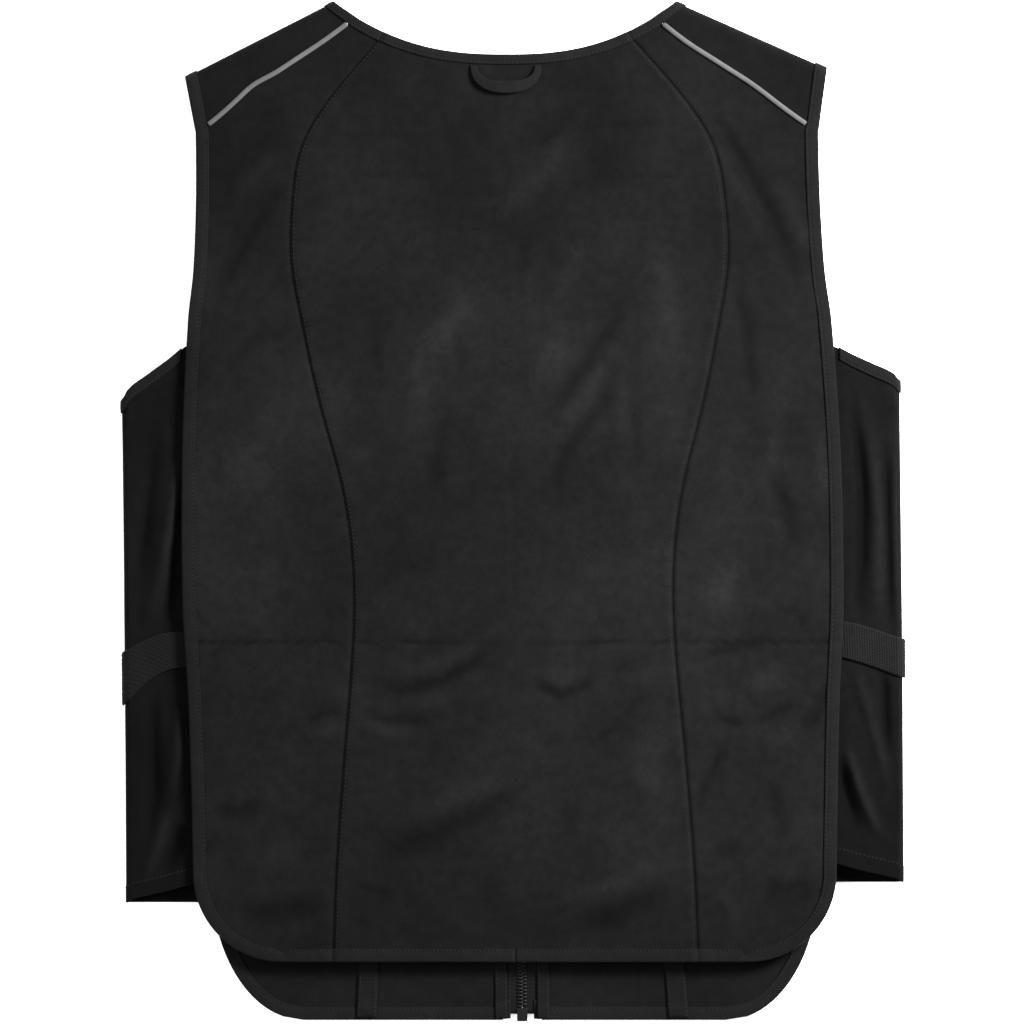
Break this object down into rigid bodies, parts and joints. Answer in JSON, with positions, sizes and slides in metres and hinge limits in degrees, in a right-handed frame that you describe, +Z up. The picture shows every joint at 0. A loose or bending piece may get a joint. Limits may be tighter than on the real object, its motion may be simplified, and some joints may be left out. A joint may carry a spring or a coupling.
{
  "type": "cooling vest",
  "caption": "Sleeveless zip-front work vest lying flat, back up, with bound edges, princess seams, folded side panels, webbing straps and a back neck hanger loop.",
  "frame": {"origin": "on the surface it lies on, under the middle of the vest's box", "axes": "+Z up through the back of the vest, +Y from the hem towards the shoulders, +X towards the right of the picture"},
  "size_m": [0.5412, 0.7034, 0.0302],
  "materials": {
    "cloth": "black twill, matt",
    "stretch": "black stretch twill, matt",
    "binding": "black bias tape",
    "piping": "light grey reflective tape, satin",
    "webbing": "black ribbed webbing",
    "tape": "black woven tape",
    "zip": "moulded black plastic, semi-matt"
  },
  "bodies": {
    "root": {"back_centre_panel": "cloth", "hanger_loop": "binding", "neck_binding": "binding", "zip_teeth": "zip", "zip_end_box": "zip", "zip_slider": "zip", "back_side_panel_left": "cloth", "shoulder_yoke_left": "cloth", "front_centre_panel_left": "cloth", "front_side_panel_left": "cloth", "side_panel_left": "stretch", "webbing_strap_left": "webbing", "reflective_piping_left": "piping", "front_seam_tape_left": "tape", "edge_binding_left": "binding", "side_top_binding_left": "binding", "zip_facing_left": "tape", "zip_tape_left": "tape", "back_side_panel_right": "cloth", "shoulder_yoke_right": "cloth", "front_centre_panel_right": "cloth", "front_side_panel_right": "cloth", "side_panel_right": "stretch", "webbing_strap_right": "webbing", "reflective_piping_right": "piping", "front_seam_tape_right": "tape", "edge_binding_right": "binding", "side_top_binding_right": "binding", "zip_facing_right": "tape", "zip_tape_right": "tape"}
  },
  "joints": []
}
